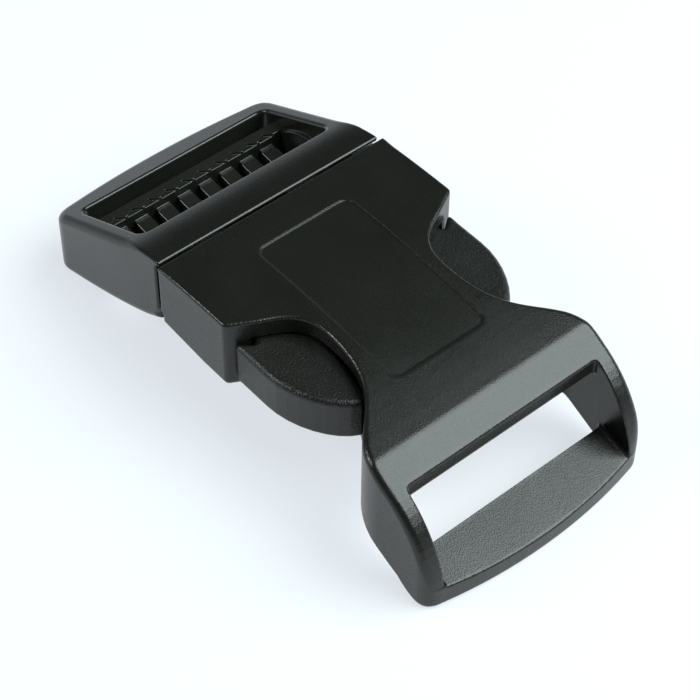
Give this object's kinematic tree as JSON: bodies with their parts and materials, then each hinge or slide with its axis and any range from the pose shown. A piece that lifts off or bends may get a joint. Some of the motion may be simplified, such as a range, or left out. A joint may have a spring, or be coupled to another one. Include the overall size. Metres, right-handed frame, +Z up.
{
  "type": "side release buckle",
  "caption": "Contoured side-release buckle: arched socket with webbing slot, plug with toothed ladder-lock bar and two squeeze prongs.",
  "frame": {"origin": "middle of the footprint, on the surface that both ends of the arch stand on", "axes": "+X along the length from the plug's adjuster towards the socket's webbing bar, +Y across the webbing, +Z up through the crown"},
  "size_m": [0.0666, 0.0312, 0.0168],
  "materials": {
    "socket_plastic": "black moulded acetal, fine spark-eroded grain, smooth panel on the crown",
    "plug_plastic": "black moulded acetal, satin outside, glossy inside the adjuster window",
    "prong_plastic": "black moulded acetal, coarse grain on the finger lobes"
  },
  "bodies": {
    "socket": {"socket": "socket_plastic"},
    "plug": {"plug_frame": "plug_plastic"},
    "prong_left": {"prong_left": "prong_plastic"},
    "prong_right": {"prong_right": "prong_plastic"}
  },
  "joints": [
    {"name": "plug_slide", "type": "slide", "parent": "socket", "child": "plug", "axis": [-1, 0, 0], "range_m": [0, 0.032], "deforming": ["prong_left", "prong_right"]},
    {"name": "prong_left_squeeze", "type": "hinge", "parent": "plug", "child": "prong_left", "pos_m": [-0.01245, 0.0113, 0.01145], "axis": [0, 0, -1], "range_deg": [0, 9], "stiffness_Nm_per_rad": 1.5},
    {"name": "prong_right_squeeze", "type": "hinge", "parent": "plug", "child": "prong_right", "pos_m": [-0.01245, -0.0113, 0.01145], "axis": [0, 0, 1], "range_deg": [0, 9], "stiffness_Nm_per_rad": 1.5}
  ]
}
